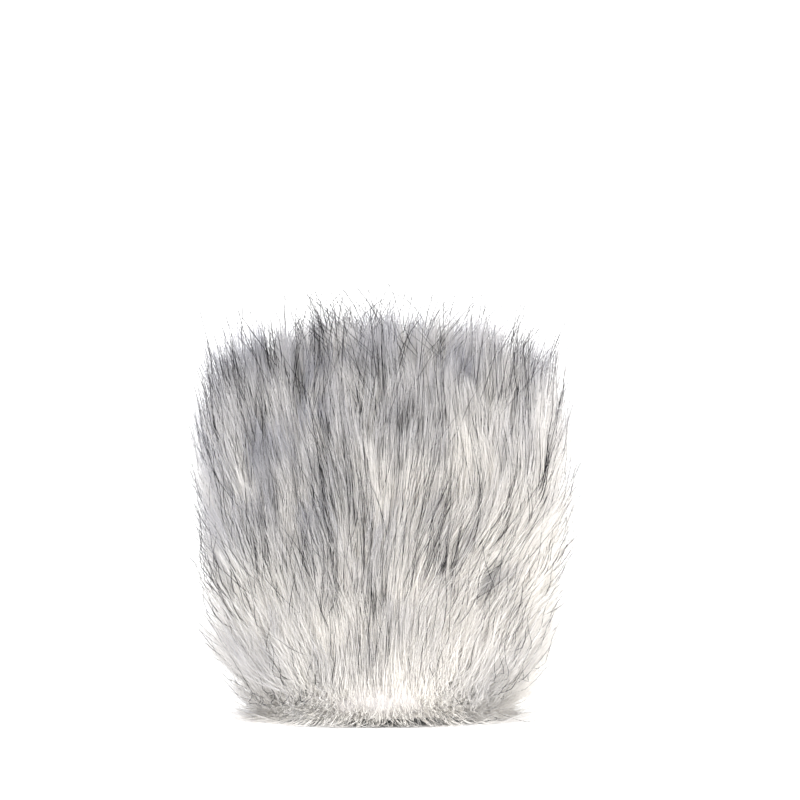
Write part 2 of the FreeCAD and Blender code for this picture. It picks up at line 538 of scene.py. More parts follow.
@dataclass(frozen=True)
class KnitFinish:
    """Warp-knitted polyester, the cloth that the pile is fixed in.

    The eye gets fine upright wales of slanting loops, a matt face and a slightly mottled grey. The
    loops are drawn at their real pitch on the piece's own map, so that the wales draw together
    where the cloth is gathered.

    Attributes:
        name: The material's name.
        wale_mm: Pitch of the upright rows of loops.
        course_mm: Pitch of the loops along a row.
        tones: Colours of the gaps and of the loops.
    """

    name: str
    wale_mm: float
    course_mm: float
    tones: tuple[str, str]

    def make(self) -> bpy.types.Material:
        """Builds the material.

        Returns:
            The material.
        """
        material, tree, shader = new_material(self.name)
        uv = add_node(tree, "UVMap", uv_map=WEAVE_UV).outputs["UV"]
        waves = []
        for pitch, bands, distortion in ((self.wale_mm, "X", 0.6), (self.course_mm, "DIAGONAL", 0.8)):
            values = {"Scale": wave_scale(pitch), "Distortion": distortion, "Detail": 1.0}
            values["Detail Scale"] = 1.5
            wave = add_node(tree, "TexWave", values, {"Vector": uv}, bands_direction=bands)
            waves.append(wave.outputs["Fac"])
        loops = add_node(tree, "Math", links={0: waves[0], 1: waves[1]}, operation="MULTIPLY").outputs[0]
        mottle = add_node(tree, "TexNoise", {"Scale": 260.0, "Detail": 4.0}, {"Vector": uv}).outputs[0]
        cloudy = add_node(tree, "Math", {1: 0.4}, {0: mottle}, operation="MULTIPLY").outputs[0]
        total = add_node(tree, "Math", links={0: loops, 1: cloudy}, operation="ADD").outputs[0]
        ramp = add_node(tree, "ValToRGB", links={"Fac": total})
        set_ramp(ramp, {0.12: self.tones[0], 0.95: self.tones[1]})
        tree.links.new(ramp.outputs["Color"], shader.inputs["Base Color"])
        bump = add_node(tree, "Bump", {"Strength": 0.7, "Distance": 0.2 * MM}, {"Height": loops})
        tree.links.new(bump.outputs["Normal"], shader.inputs["Normal"])
        shader.inputs["Roughness"].default_value = 0.85
        shader.inputs["Specular IOR Level"].default_value = 0.2
        return material


@dataclass(frozen=True)
class ThreadFinish:
    """Spun polyester sewing thread.

    The eye gets a pale cord with a fine slanting twist and a little sheen.
    """

    twist_mm: float = 0.35
    tones: tuple[str, str] = ("#B9B5B0", "#E6E2DB")

    def make(self) -> bpy.types.Material:
        """Builds the material.

        Returns:
            The material.
        """
        material, tree, shader = new_material("spun polyester thread")
        coords = add_node(tree, "TexCoord")
        plies = add_node(
            tree,
            "TexWave",
            {"Scale": wave_scale(self.twist_mm), "Distortion": 0.6},
            {"Vector": coords.outputs["Object"]},
            bands_direction="DIAGONAL",
        )
        ramp = add_node(tree, "ValToRGB", links={"Fac": plies.outputs["Fac"]})
        set_ramp(ramp, {0.0: self.tones[0], 1.0: self.tones[1]})
        tree.links.new(ramp.outputs["Color"], shader.inputs["Base Color"])
        shader.inputs["Roughness"].default_value = 0.6
        return material


@dataclass(frozen=True)
class ElasticFinish:
    """Woven elastic: rubber cords covered by white polyester, in ribs along the band.

    The eye gets even cream ribs with darker gaps.
    """

    rib_mm: float = 1.0
    tones: tuple[str, str] = ("#B4B2AC", "#EFEDE6")

    def make(self) -> bpy.types.Material:
        """Builds the material.

        Returns:
            The material.
        """
        material, tree, shader = new_material("woven elastic")
        coords = add_node(tree, "TexCoord")
        ribs = add_node(
            tree,
            "TexWave",
            {"Scale": wave_scale(self.rib_mm), "Distortion": 0.2},
            {"Vector": coords.outputs["Object"]},
            bands_direction="Z",
        )
        ramp = add_node(tree, "ValToRGB", links={"Fac": ribs.outputs["Fac"]})
        set_ramp(ramp, {0.1: self.tones[0], 0.6: self.tones[1]})
        tree.links.new(ramp.outputs["Color"], shader.inputs["Base Color"])
        shader.inputs["Roughness"].default_value = 0.7
        return material


# ---------------------------------------------------------------- the pile


@dataclass
class Roots:
    """Where fibres stand on the cloth.

    Attributes:
        place: Root points.
        normal: Outward unit normals of the cloth.
        up: Unit tangents up the cloth.
    """

    place: Array
    normal: Array
    up: Array

    def nearest(self, others: "Roots") -> Array:
        """Finds, for each root, the number of the nearest of some other roots.

        The squared gap is written as the sum of both squared lengths less twice the dot product,
        so that a block of roots is one matrix product.

        Args:
            others: The roots to choose from.

        Returns:
            One number for each root.
        """
        squares = (others.place**2).sum(axis=1)
        blocks = np.array_split(self.place, max(1, len(self.place) // 2000))
        return np.concatenate([(squares - 2 * block @ others.place.T).argmin(axis=1) for block in blocks])


@dataclass
class Habit:
    """How each fibre grows, handed down from lock to tuft to fibre.

    Attributes:
        lean: Lean to the right of the brushed lay, in radians.
        curl: Change of the lean from root to tip, in radians.
        lift: Extra standing off the cloth.
        length: Factor on the length.
        tone: Tone, added to that of the place.
    """

    lean: Array
    curl: Array
    lift: Array
    length: Array
    tone: Array

    @staticmethod
    def drawn(spread: "Spread", count: int, rng: np.random.Generator) -> "Habit":
        """Draws habits for a number of fibres from normal spreads about nothing."""
        return Habit(
            np.radians(rng.normal(0, spread.lean_deg, count)),
            np.radians(rng.normal(0, spread.curl_deg, count)),
            rng.normal(0, spread.lift, count),
            rng.normal(0, spread.length, count),
            rng.normal(0, spread.tone, count),
        )

    def handed_down(self, parent: Array, own: "Habit") -> "Habit":
        """Adds the habits of the parents, given by number, to the fibres' own."""
        return Habit(
            self.lean[parent] + own.lean,
            self.curl[parent] + own.curl,
            self.lift[parent] + own.lift,
            self.length[parent] + own.length,
            self.tone[parent] + own.tone,
        )


@dataclass(frozen=True)
class Spread:
    """Standard spreads of the habits within a lock, a tuft or the single fibres."""

    lean_deg: float
    curl_deg: float
    lift: float
    length: float
    tone: float


@dataclass(frozen=True)
class Comb:
    """How the pile is brushed: which way a fibre leans at each place.

    The lay runs up from the mouth and fans out from a point below it. On the panels it also sways
    to one side about the middle, as pile does that has been squeezed and shaken out.

    Attributes:
        fan_centre: x and z of the point that the fan spreads from.
        fan_rise: How much nearer the point is for fibres at the mouth.
        fan_fade: Heights over which the fan dies away, and the share that is left above.
        sways: Lean in degrees, then x, z, reach in x and reach in z of each sway on the front.
        drift_deg: Lean of wide drifts in the lay.
    """

    fan_centre: tuple[float, float] = (3.0, -30.0)
    fan_rise: float = 30.0
    fan_fade: tuple[float, float, float] = (30.0, 100.0, 0.4)
    sways: tuple[tuple[float, float, float, float, float], ...] = (
        (28.0, 20.0, 50.0, 24.0, 22.0),
        (-20.0, 38.0, 96.0, 22.0, 22.0),
        (11.0, -22.0, 38.0, 18.0, 22.0),
        (-11.0, -8.0, 72.0, 16.0, 20.0),
    )
    drift_deg: float = 7.0

    def lay(self, points: Array, normals: Array, across: Array, lean: Array, loft: Array) -> Array:
        """Gives the direction that brushed fibres follow at each place.

        The fan leans a fibre away from the fan's centre, less with height, and less towards the
        sides low down, where the strands arc upwards. Then the fibre leans along the cloth by its
        own lean and by each sway's bell curve, which the back has mirrored, and off the cloth by
        its loft.

        Args:
            points: Places in millimetres.
            normals: Outward normals of the cloth at the fibres' roots.
            across: Level unit tangents of the cloth there, to the right as seen from outside.
            lean: Extra lean of each fibre to its right, in radians.
            loft: How strongly each fibre stands off the cloth.

        Returns:
            Unit directions.
        """
        x, y, z = points[:, 0], points[:, 1], points[:, 2]
        start, stop, left = self.fan_fade
        fade = 1.0 - (1.0 - left) * smooth((z - start) / (stop - start))
        side = np.tanh(-y / 6.0)
        sway = np.zeros_like(x)
        for degrees, middle_x, middle_z, reach_x, reach_z in self.sways:
            gap = ((x * side - middle_x) / reach_x) ** 2 + ((z - middle_z) / reach_z) ** 2
            sway = sway + math.radians(degrees) * np.exp(-gap)
        below = self.fan_centre[1] + self.fan_rise * (1.0 - smooth(z / 38.0))
        closing = smooth((np.abs(x) - 20.0) / 24.0) * (1.0 - smooth((z - 20.0) / 30.0))
        angle = np.arctan2(x - self.fan_centre[0], z - below) * fade * (1.0 - 0.65 * closing)
        deep = np.arctan2(y, z - below) * fade
        flow = unit(np.stack([np.tan(angle), np.tan(deep), np.ones_like(z)], axis=-1))
        own = np.tan(np.clip(lean + sway * np.abs(side), -0.9, 0.9))
        return unit(flow + across * own[:, None] + normals * loft[:, None])


@dataclass(frozen=True)
class Fibre:
    """One kind of fibre in the pile.

    Attributes:
        rings: Segments along a fibre.
        radius: Radius of the fibre's prism. It is coarser than the real fibre, 0.05 mm, so that
            tens of thousands of fibres cover what millions do.
        length: Shortest and longest fibre on the body of the sock.
        spread: The single fibres' own habits.
        reach: Shares of the pile's form that the fibres' tips are held to.
        gathered: How strongly the tips are drawn to their tuft.
        wave: Side-to-side swing of a fibre, in millimetres.
        fray: How much more freely it leans at the closed top.
        stray: Share of the fibres that lean far from the rest.
        droops: Share of the fibres that hang over the hem's lower edge.
    """

    rings: int
    radius: float
    length: tuple[float, float]
    spread: Spread
    reach: tuple[float, float]
    gathered: float
    wave: float
    fray: float = 0.6
    stray: float = 0.0
    droops: float = 0.0


@dataclass
class Pile:
    """The long pile of the windscreen: top coat, guard hairs and undercoat.

    Attributes:
        sock: The cloth that the fibres are rooted on.
        form: The outer shape that they fill.
        comb: How they are brushed.
        count: Fibres in the top coat.
        guards: Guard hairs.
        guards_patchy: How unevenly the guard hairs stand, from 0 to 1.
        locks: Large locks.
        tufts: Small tufts that make up the locks.
        lock_spread: How much the locks differ.
        tuft_spread: How much the tufts of a lock differ.
        top_coat: The light fibres.
        guard: The dark guard hairs.
        skirt_top: Height of the border between the lowest bands and the waist.
        waist_top: Height of the border between the waist and the crown.
        flank_from: Distance from the middle of a panel at which the flanks begin.
    """

    sock: SockForm
    form: PileForm
    comb: Comb
    count: int = 55000
    guards: int = 2250
    guards_patchy: float = 0.8
    locks: int = 460
    tufts: int = 3600
    lock_spread: Spread = Spread(10.0, 16.0, 0.10, 0.07, 0.17)
    tuft_spread: Spread = Spread(6.0, 9.0, 0.06, 0.06, 0.09)
    top_coat: Fibre = Fibre(
        rings=5,
        radius=0.080,
        length=(25.0, 34.0),
        spread=Spread(4.5, 7.0, 0.05, 0.05, 0.10),
        reach=(0.84, 1.05),
        gathered=0.6,
        wave=0.35,
        droops=0.55,
    )
    guard: Fibre = Fibre(
        rings=8,
        radius=0.120,
        length=(34.0, 46.0),
        spread=Spread(8.0, 4.0, 0.05, 0.06, 0.30),
        reach=(1.0, 1.1),
        gathered=0.18,
        wave=0.2,
        fray=1.8,
        stray=0.04,
    )
    skirt_top: float = 24.0
    waist_top: float = 60.0
    flank_from: float = 16.0

    def scatter(self, count: int, rng: np.random.Generator, patchy: float = 0.0) -> Roots:
        """Spreads roots by area over the hem and the sock, more closely round the mouth.

        The surface is cut into small cells, cells are drawn with a chance in proportion to their
        area, and each root lies at random within its cell. Even pile is up to four times as dense
        at the mouth, and patchy pile is thinner there.

        Args:
            count: Number of roots.
            rng: Source of randomness.
            patchy: How unevenly the roots are spread, from 0 to 1.

        Returns:
            The roots.
        """
        rows, columns = 300, 240
        edges = np.linspace(self.sock.HEM * 0.95, self.sock.CAP - 0.01, rows + 1)
        t0, t1 = edges[:-1, None], edges[1:, None]
        a0 = np.arange(columns)[None] * 2 * math.pi / columns
        turn = 2 * math.pi / columns
        corner = self.sock.point(t0 + 0 * a0, a0 + 0 * t0)
        along = self.sock.point(t1 + 0 * a0, a0 + 0 * t0) - corner
        across = self.sock.point(t0 + 0 * a0, a0 + turn + 0 * t0) - corner
        area = np.linalg.norm(np.cross(along, across), axis=-1)
        area = area * (1.0 + (0.9 - 1.9 * patchy) * (1.0 - smooth((corner[..., 2] - 8.0) / 22.0)))
        area = area * (1.0 + (1.0 - patchy) * (1.0 - smooth((corner[..., 2] - 4.0) / 6.0)))
        area = (area * (1.0 + patchy * np.clip(ripple(corner, 15.0, 91), -1.0, 1.0))).ravel()
        cell = rng.choice(area.size, count, p=area / area.sum())
        t = edges[cell // columns] + rng.random(count) * (edges[1] - edges[0])
        a = (cell % columns + rng.random(count)) * turn
        normal, up = self.sock.frame_at(t, a)
        return Roots(self.sock.point(t, a), normal, up)

    def grow(self, roots: Roots, kind: Fibre, habit: Habit, rng: np.random.Generator) -> Array:
        """Grows fibres: each leaves the cloth steeply and turns into the brushed lay.

        The direction goes from the start direction to the lay along a smoothstep. Fibres near the
        mouth and at the sides start lower and turn more slowly, so that they sweep out before they
        rise, and some at the hem's lower edge hang over it first. The lean changes evenly along the
        fibre by its curl. A sine wave swings each fibre sideways.

        Args:
            roots: Where the fibres stand.
            kind: The kind of fibre.
            habit: How each fibre grows.
            rng: Source of randomness.

        Returns:
            Points of shape (fibres, rings + 1, 3).
        """
        count, steps = len(roots.place), kind.rings * 2
        z = roots.place[:, 2]
        near_mouth = 1.0 - smooth((z - 6.0) / 26.0)
        side = smooth((np.abs(roots.normal[:, 0]) - 0.45) / 0.5)
        high = smooth((z - 66.0) / 26.0)
        corner = smooth((np.abs(roots.place[:, 0]) - 14.0) / 16.0)
        loft = 0.22 + 0.32 * side * (1.0 - smooth((z - 30.0) / 40.0)) + habit.lift
        loft = loft * (1.0 - 0.8 * high * (1.0 - corner)) + 0.12 * high * corner
        flank = smooth((np.abs(roots.normal[:, 0]) - 0.15) / 0.6)
        droop = (1.0 - smooth((z - 4.0) / 7.0)) * (rng.random(count) < kind.droops)
        droop = droop * (1.0 - 0.6 * flank)
        start = roots.normal * (0.9 + near_mouth * (0.9 * flank - 0.35))[:, None]
        rise = 0.6 + 0.1 * side - near_mouth * 0.8 * flank - 1.15 * droop
        start = unit(start + roots.up * rise[:, None])
        stir = rng.normal(size=(count, 4))
        start = unit(start + stir[:, :3] * 0.12)
        bend = 0.42 + 0.5 * np.maximum(0.2 * near_mouth + 0.6 * near_mouth * flank, side)
        bend = bend + 0.25 * high * corner
        drift = math.radians(self.comb.drift_deg) * ripple(roots.place, 36.0, 8)
        length = self.lengths(roots, kind, rng) * np.clip(1.0 + habit.length, 0.7, 1.3)
        across = unit(np.cross(roots.up, roots.normal))
        start = unit(start + across * (0.6 * droop * stir[:, 3])[:, None])
        points = np.empty((count, steps + 1, 3))
        points[:, 0] = roots.place - roots.normal * 0.3
        for step in range(steps):
            share = (step + 0.5) / steps
            turned = smooth(share / bend)[:, None]
            lean = (habit.lean + habit.curl * (share - 0.45)) * (1.0 + kind.fray * high) + drift
            lay = self.comb.lay(points[:, step], roots.normal, across, lean, loft)
            heading = unit(start * (1.0 - turned) + lay * turned)
            points[:, step + 1] = points[:, step] + heading * (length / steps)[:, None]
        share = np.linspace(0, 1, steps + 1)[None]
        phase = rng.uniform(0, 2 * math.pi, (count, 1))
        turns = rng.uniform(0.5, 1.1, (count, 1))
        swing = kind.wave * rng.normal(size=(count, 1))
        swing = swing * np.sin(2 * math.pi * turns * share + phase) * share
        points = points + across[:, None] * swing[..., None]
        return points[:, ::2]

    def gather(self, fibres: Array, middles: Array, strength: Array, left: float) -> Array:
        """Draws fibres towards their tuft's middle fibre, more and more towards the tip.

        Args:
            fibres: Points of shape (fibres, rings + 1, 3).
            middles: The middle fibre for each fibre, with as many rings.
            strength: How far each fibre's tip is drawn, from 0 to 1.
            left: How much of a root's offset from its tuft is left at the tip.

        Returns:
            The gathered fibres.
        """
        share = np.linspace(0, 1, fibres.shape[1])[None, :, None]
        offset = (fibres[:, :1] - middles[:, :1]) * (1.0 - (1.0 - left) * smooth(share))
        weight = smooth(share * 1.15) * strength[:, None, None]
        return fibres * (1.0 - weight) + (middles + offset) * weight

    def lengths(self, roots: Roots, kind: Fibre, rng: np.random.Generator) -> Array:
        """Chooses fibre lengths: longer at the sides, most of all low down, and shorter at the top.

        Args:
            roots: Where the fibres stand.
            kind: The kind of fibre.
            rng: Source of randomness.

        Returns:
            Lengths in millimetres.
        """
        z = roots.place[:, 2]
        length = rng.uniform(*kind.length, len(z)) * (1.0 + 0.08 * ripple(roots.place, 16.0, 5))
        side = smooth((np.abs(roots.normal[:, 0]) - 0.45) / 0.5)
        length = length * (1.0 + 0.3 * side * (1.0 - 0.5 * smooth((z - 50.0) / 30.0)))
        return length * (1.0 - self.crown_cut(kind) * smooth((z - 78.0) / 18.0))

    def crown_cut(self, kind: Fibre) -> float:
        """Gives how much shorter a kind of fibre is at the closed top."""
        return 0.10 if kind is self.guard else 0.32

    def guides(self, rng: np.random.Generator) -> tuple[Roots, Habit, Array]:
        """Grows the middle fibres of the locks and, gathered to them, of the tufts.

        Args:
            rng: Source of randomness.

        Returns:
            The tufts' roots, their habits and their middle fibres with 40 segments.
        """
        calm = Spread(0.0, 0.0, 0.0, 0.0, 0.0)
        kind = Fibre(40, 0.1, self.top_coat.length, calm, (0.85, 1.0), 0.0, 1.0)
        lock_roots = self.scatter(self.locks, rng)
        lock_habit = Habit.drawn(self.lock_spread, self.locks, rng)
        locks = self.grow(lock_roots, kind, lock_habit, rng)
        tuft_roots = self.scatter(self.tufts, rng)
        parent = tuft_roots.nearest(lock_roots)
        tuft_habit = lock_habit.handed_down(parent, Habit.drawn(self.tuft_spread, self.tufts, rng))
        tufts = self.grow(tuft_roots, kind, tuft_habit, rng)
        tufts = self.gather(tufts, locks[parent], rng.uniform(0.3, 0.7, self.tufts), 0.5)
        return tuft_roots, tuft_habit, tufts

    def fibres(
        self,
        kind: Fibre,
        count: int,
        patchy: float,
        guides: tuple[Roots, Habit, Array],
        rng: np.random.Generator,
    ) -> tuple[Roots, Array, Array]:
        """Grows one kind of fibre all over the sock.

        Args:
            kind: The kind of fibre.
            count: Number of fibres.
            patchy: How unevenly they stand.
            guides: The tufts' roots, habits and middle fibres.
            rng: Source of randomness.

        Returns:
            The roots, the fibres' points and their tones.
        """
        tuft_roots, tuft_habit, tufts = guides
        roots = self.scatter(count, rng, patchy)
        parent = roots.nearest(tuft_roots)
        habit = tuft_habit.handed_down(parent, Habit.drawn(kind.spread, count, rng))
        strays = (rng.random(count) < kind.stray) & (roots.place[:, 2] > 12.0)
        habit.lean = habit.lean * np.where(strays, 3.5, 1.0)
        points = self.grow(roots, kind, habit, rng)
        strength = np.clip(kind.gathered * rng.uniform(0.5, 1.3, count), 0.0, 0.95)
        strength = strength * (0.35 + 0.65 * smooth((roots.place[:, 2] - 6.0) / 14.0))
        middles = tufts[:, :: tufts.shape[1] // kind.rings][parent]
        points = self.gather(points, middles, strength, 0.3)
        limit = kind.reach[0] + (kind.reach[1] - kind.reach[0]) * rng.random(count) ** 0.6
        points = self.form.hold(points, limit)
        points[..., 2] = self.between(points[..., 2])
        return roots, points, self.tone(roots, habit)

    def between(self, z: Array) -> Array:
        """Eases heights away from the floor and from the top of the room that the fur may take.

        Below the lower bend the height falls off exponentially to the floor gap, and above the upper
        bend it rises exponentially to the fur's top.

        Args:
            z: Heights in millimetres.

        Returns:
            The eased heights.
        """
        near, far = 0.9, 11.0
        low_bend, high_bend = FLOOR_GAP_MM + near, FUR_TOP_MM - far
        low = FLOOR_GAP_MM + near * np.exp(np.minimum(z - low_bend, 0.0) / near)
        high = FUR_TOP_MM - far * np.exp(-np.maximum(z - high_bend, 0.0) / far)
        return np.where(z < low_bend, low, np.where(z > high_bend, high, z))

    def tone(self, roots: Roots, habit: Habit) -> Array:
        """Chooses each fibre's tone, from 0 for bright cream to 1 for cool grey.

        It rises with height, partly because the pile is greyer towards the top and partly as painted
        shade, and it rises towards the left as painted shade and falls towards the right as painted
        light. Bell curves add painted light to the middle of the right half and painted shade to the
        left, the hem's edge is paler, and a ripple mottles it.

        Args:
            roots: Where the fibres stand.
            habit: The fibres' habits, with their own part of the tone.

        Returns:
            Tones from 0.03 to 0.97.
        """
        place = roots.place
        x, z = place[:, 0], place[:, 2]
        # painted shade and light: the tone rises towards the left and falls towards the right
        aside = np.where(x > 0, x * (1.0 - 0.6 * smooth((z - 26.0) / 30.0)), x)
        # the rise with height is partly the pile's own greyer top and partly painted shade
        tone = 0.23 + 0.36 * smooth((z - 24.0) / 60.0) + 0.14 * smooth((z - 78.0) / 16.0)
        tone = tone - 0.0042 * aside
        # painted light: the middle of the right half is paler
        tone = tone - 0.22 * np.exp(-(((x - 11.0) / 22.0) ** 2) - ((z - 48.0) / 24.0) ** 2)
        # painted shade: the left is greyer
        tone = tone + 0.21 * np.exp(-(((x + 34.0) / 22.0) ** 2) - ((z - 44.0) / 32.0) ** 2)
        tone = tone + 0.08 * (1.0 - smooth((z - 16.0) / 30.0)) - 0.12 * (1.0 - smooth((z - 4.0) / 8.0))
        tone = tone + 0.12 * ripple(place, 26.0, 31)
        return np.clip(tone + habit.tone, 0.03, 0.97)

    def fibre_mesh(
        self,
        name: str,
        points: Array,
        normals: Array,
        radius: Array,
        tone: Array,
        finish: bpy.types.Material,
    ) -> bpy.types.Object:
        """Builds closed three-sided prisms along fibres, pointed at the tip.

        Ring k of a fibre has three points at 120 degrees round its line, at the radius times one
        minus the place along it to the power 2.5. The last ring is one point. The map's u is the
        fibre's tone and its v the place along the fibre.

        Args:
            name: The piece's name.
            points: Fibre points of shape (fibres, rings + 1, 3).
            normals: The cloth's normal at each root, which turns the prism.
            radius: Each fibre's radius at the root.
            tone: Each fibre's tone.
            finish: The material.

        Returns:
            The piece.
        """
        count, rings = points.shape[0], points.shape[1] - 1
        along = unit(np.gradient(points, axis=1))
        across = unit(np.cross(along, normals[:, None]))
        outward = np.cross(across, along)
        share = np.linspace(0, 1, rings + 1)
        taper = radius[:, None] * (1.0 - share**2.5)
        angles = math.radians(30.0) + np.arange(3) * 2 * math.pi / 3
        rim = across[:, :-1, None] * np.cos(angles)[None, None, :, None]
        rim = rim - outward[:, :-1, None] * np.sin(angles)[None, None, :, None]
        body = points[:, :-1, None] + rim * taper[:, :-1, None, None]
        each = 3 * rings + 1
        vertices = np.concatenate([body.reshape(count, 3 * rings, 3), points[:, -1:]], axis=1)

        sides = np.arange(3)
        after = (sides + 1) % 3
        level = 3 * np.arange(rings - 1)[:, None]
        quads = np.stack([level + sides, level + after, level + 3 + after, level + 3 + sides], axis=-1)
        last = 3 * (rings - 1)
        tips = np.stack([last + sides, last + after, np.full(3, 3 * rings)], axis=-1)
        corners = np.concatenate([quads.reshape(-1), tips.reshape(-1), [2, 1, 0]])
        sizes = np.array([4] * (3 * (rings - 1)) + [3] * 4)

        strip = 0.006
        left, right = sides * strip, (sides + 1) * strip
        row = share[:-1]
        quad_u = np.broadcast_to(np.stack([left, right, right, left], axis=-1), (rings - 1, 3, 4))
        quad_v = np.stack([row[:-1], row[:-1], row[1:], row[1:]], axis=-1)[:, None]
        quad_v = np.broadcast_to(quad_v, (rings - 1, 3, 4))
        tip_u = np.stack([left, right, (left + right) / 2], axis=-1)
        tip_v = np.broadcast_to([row[-1], row[-1], 1.0], (3, 3))
        u = np.concatenate([quad_u.reshape(-1), tip_u.reshape(-1), [0.0, strip, strip * 2]])
        v = np.concatenate([quad_v.reshape(-1), tip_v.reshape(-1), [0.0, 0.01, 0.0]])

        mesh = bpy.data.meshes.new(name)
        mesh.vertices.add(count * each)
        mesh.vertices.foreach_set("co", (vertices.reshape(-1) * MM).astype(np.float32))
        loops = (np.arange(count)[:, None] * each + corners).reshape(-1)
        mesh.loops.add(loops.size)
        mesh.loops.foreach_set("vertex_index", loops.astype(np.int32))
        starts = np.concatenate([[0], np.cumsum(sizes)[:-1]])
        starts = (np.arange(count)[:, None] * corners.size + starts).reshape(-1)
        mesh.polygons.add(starts.size)
        mesh.polygons.foreach_set("loop_start", starts.astype(np.int32))
        mesh.polygons.foreach_set("use_smooth", np.ones(starts.size, bool))
        layer = mesh.uv_layers.new(name=FIBRE_UV)
        spread = np.stack([tone[:, None] + u - 1.5 * strip, np.broadcast_to(v, (count, v.size))], axis=-1)
        layer.data.foreach_set("uv", np.clip(spread, 0.001, 0.999).astype(np.float32).reshape(-1))
        mesh.materials.append(finish)
        mesh.update(calc_edges=True)
        piece = bpy.data.objects.new(name, mesh)
        bpy.context.scene.collection.objects.link(piece)
        return piece

    def bands_of(self, roots: Roots) -> dict[Band, Array]:
        """Shares the fibres out among the bands, by where they are rooted.

        Args:
            roots: Where the fibres stand.

        Returns:
            For each band of the pile, which fibres belong to it.
        """
        z = roots.place[:, 2]
        low, high = z <= self.skirt_top, z > self.waist_top
        aside = np.abs(roots.place[:, 0]) > self.flank_from
        return {
            Band.FRINGE: low & ~aside,
            Band.FLANK: low & aside,
            Band.WAIST: ~low & ~high,
            Band.CROWN: high,
        }

    def part_out(
        self,
        title: str,
        roots: Roots,
        points: Array,
        radius: float,
        tone: Array,
        finish: bpy.types.Material,
    ) -> None:
        """Makes one piece for each panel, half and band, and passes it to dress_as_fur.

        Args:
            title: What the fibres are.
            roots: Where they stand.
            points: Their points.
            radius: Their radius.
            tone: Their tones.
            finish: Their material.
        """
        bands = self.bands_of(roots)
        thick = radius * np.random.default_rng(SEED + 1).uniform(0.7, 1.25, len(points))
        for panel in Panel:
            for half in Half:
                for band, members in bands.items():
                    x, y = roots.place[:, 0], roots.place[:, 1]
                    mine = members & (y * panel.value > 0) & (x * half.value > 0)
                    label = f"{title}_{panel.name.lower()}_{half.name.lower()}_{band.name.lower()}"
                    piece = self.fibre_mesh(
                        label, points[mine], roots.normal[mine], thick[mine], tone[mine], finish
                    )
                    dress_as_fur(piece, panel, half, band)
                    LOG.info("%s: %d fibres", label, int(mine.sum()))

    def undercoat(self, finish: bpy.types.Material) -> None:
        """Makes the felted undercoat as closed lumpy shells over the cloth.

        A shell's outer face is the cloth's surface moved out along its normal by 4 mm and a ripple,
        and its inner face lies 0.4 mm over the cloth. Below the hem's edge it hangs 2.8 mm lower.

        Args:
            finish: The material.
        """
        rows, columns = 40, 26
        bands = {Band.HEM: (self.sock.HEM * 0.9, 0.0), Band.CLOTH: (0.0, self.sock.CAP - 0.002)}
        for panel in Panel:
            for half in Half:
                middle = math.pi / 2 * panel.value
                edge = (math.pi / 2 - math.pi / 2 * half.value) * panel.value
                for band, (begin, end) in bands.items():
                    t, a = np.meshgrid(
                        np.linspace(begin, end, rows), np.linspace(middle, edge, columns), indexing="ij"
                    )
                    place = self.sock.point(t, a)
                    normal, _ = self.sock.frame_at(t, a)
                    thick = UNDERCOAT_MM + 1.0 * ripple(place, 7.0, 71) + 0.5 * ripple(place, 2.6, 72)
                    thick = thick * smooth((t - self.sock.HEM) / 0.05)
                    place[..., 2] -= UNDERCOAT_HANGS_MM * smooth((t / self.sock.HEM - 0.4) / 0.5)
                    outer = place + normal * (0.6 + thick)[..., None]
                    inner = place + normal * 0.4
                    label = f"undercoat_{panel.name.lower()}_{half.name.lower()}_{band.name.lower()}"
                    piece = shell(label, outer, inner, half.value * panel.value > 0, finish)
                    dress_as_fur(piece, panel, half, band)
                    LOG.info("%s", label)


def shell(
    name: str,
    outer: Array,
    inner: Array,
    flip: bool,
    finish: bpy.types.Material,
    weave: Array | None = None,
) -> bpy.types.Object:
    """Closes two grids of points into a thick shell.

    Args:
        name: The piece's name.
        outer: Points of the outer face, of shape (rows, columns, 3).
        inner: Points of the inner face, of the same shape.
        flip: Whether the grid's winding has to be turned round for the faces to point outwards.
        finish: The material.
        weave: For cloth, the grid's places on the flat cloth, in millimetres.

    Returns:
        The piece.
    """
    rows, columns = outer.shape[:2]
    size = rows * columns
    face = grid_faces(rows, columns)
    numbers = np.arange(size).reshape(rows, columns)
    rim = np.concatenate([numbers[0, :-1], numbers[:-1, -1], numbers[-1, :0:-1], numbers[:0:-1, 0]])
    ahead = np.roll(rim, -1)
    wall = np.stack([ahead, rim, rim + size, ahead + size], axis=-1)
    faces = np.concatenate([face, face[:, ::-1] + size, wall])
    if flip:
        faces = faces[:, ::-1]
    points = np.concatenate([outer.reshape(-1, 3), inner.reshape(-1, 3)])
    both = None if weave is None else np.concatenate([weave.reshape(-1, 2)] * 2)
    piece = new_piece(name, points, faces.tolist(), finish, both)
    piece.data.set_sharp_from_angle(angle=math.radians(55))
    return piece


# ---------------------------------------------------------------- cloth, hem and seams


